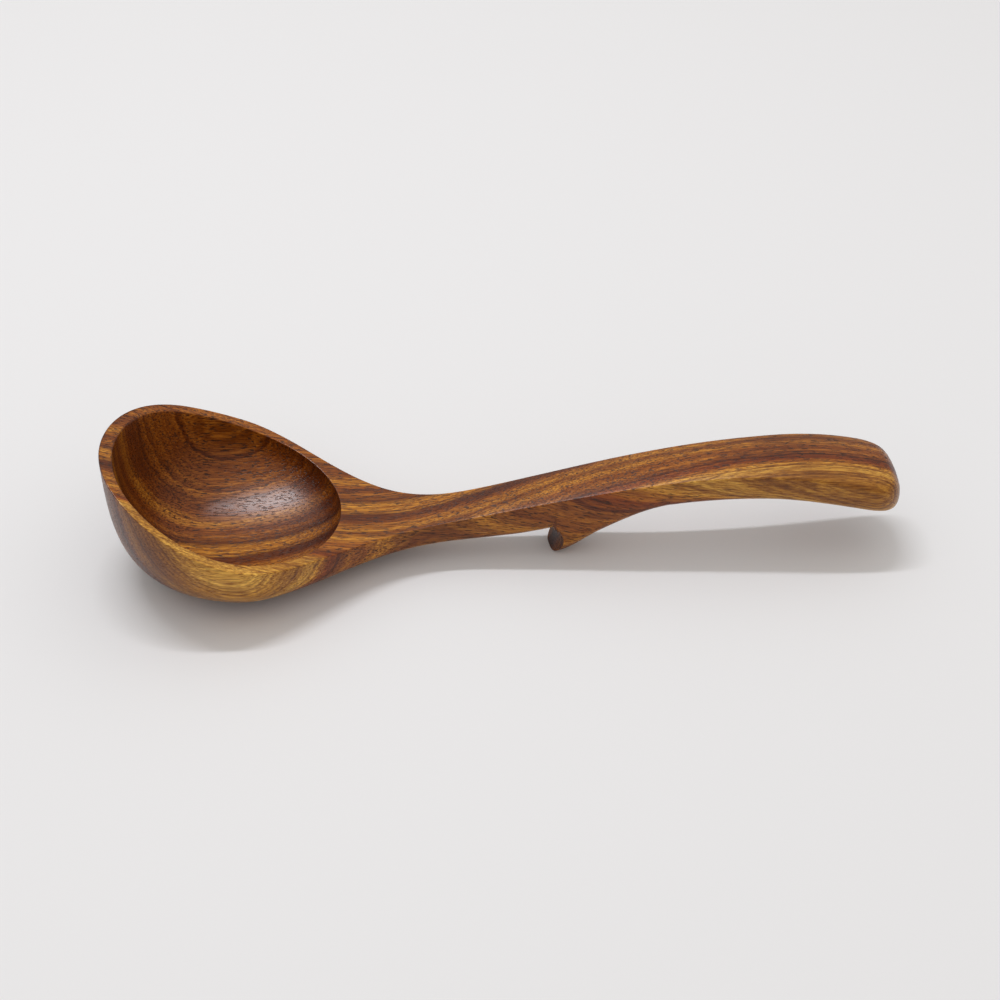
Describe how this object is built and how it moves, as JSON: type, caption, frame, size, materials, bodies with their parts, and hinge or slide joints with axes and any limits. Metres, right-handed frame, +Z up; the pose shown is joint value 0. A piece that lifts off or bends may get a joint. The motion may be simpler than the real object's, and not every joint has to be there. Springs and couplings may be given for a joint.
{
  "type": "wooden ladle",
  "caption": "Hand-carved wooden ladle with a round deep bowl, a curved flattened handle and a hook under the handle that rests on a pot's rim.",
  "frame": {"origin": "under the middle of the whole ladle, on the surface that it lies on", "axes": "+X from the bowl to the end of the handle, +Y across, +Z up from the surface that the ladle lies on"},
  "size_m": [0.2924, 0.089, 0.0535],
  "materials": {
    "bowl_wood": "satin oiled",
    "handle_wood": "satin oiled",
    "rest_wood": "satin oiled"
  },
  "bodies": {
    "root": {"bowl": "bowl_wood", "handle": "handle_wood", "pot_rest": "rest_wood"}
  },
  "joints": []
}
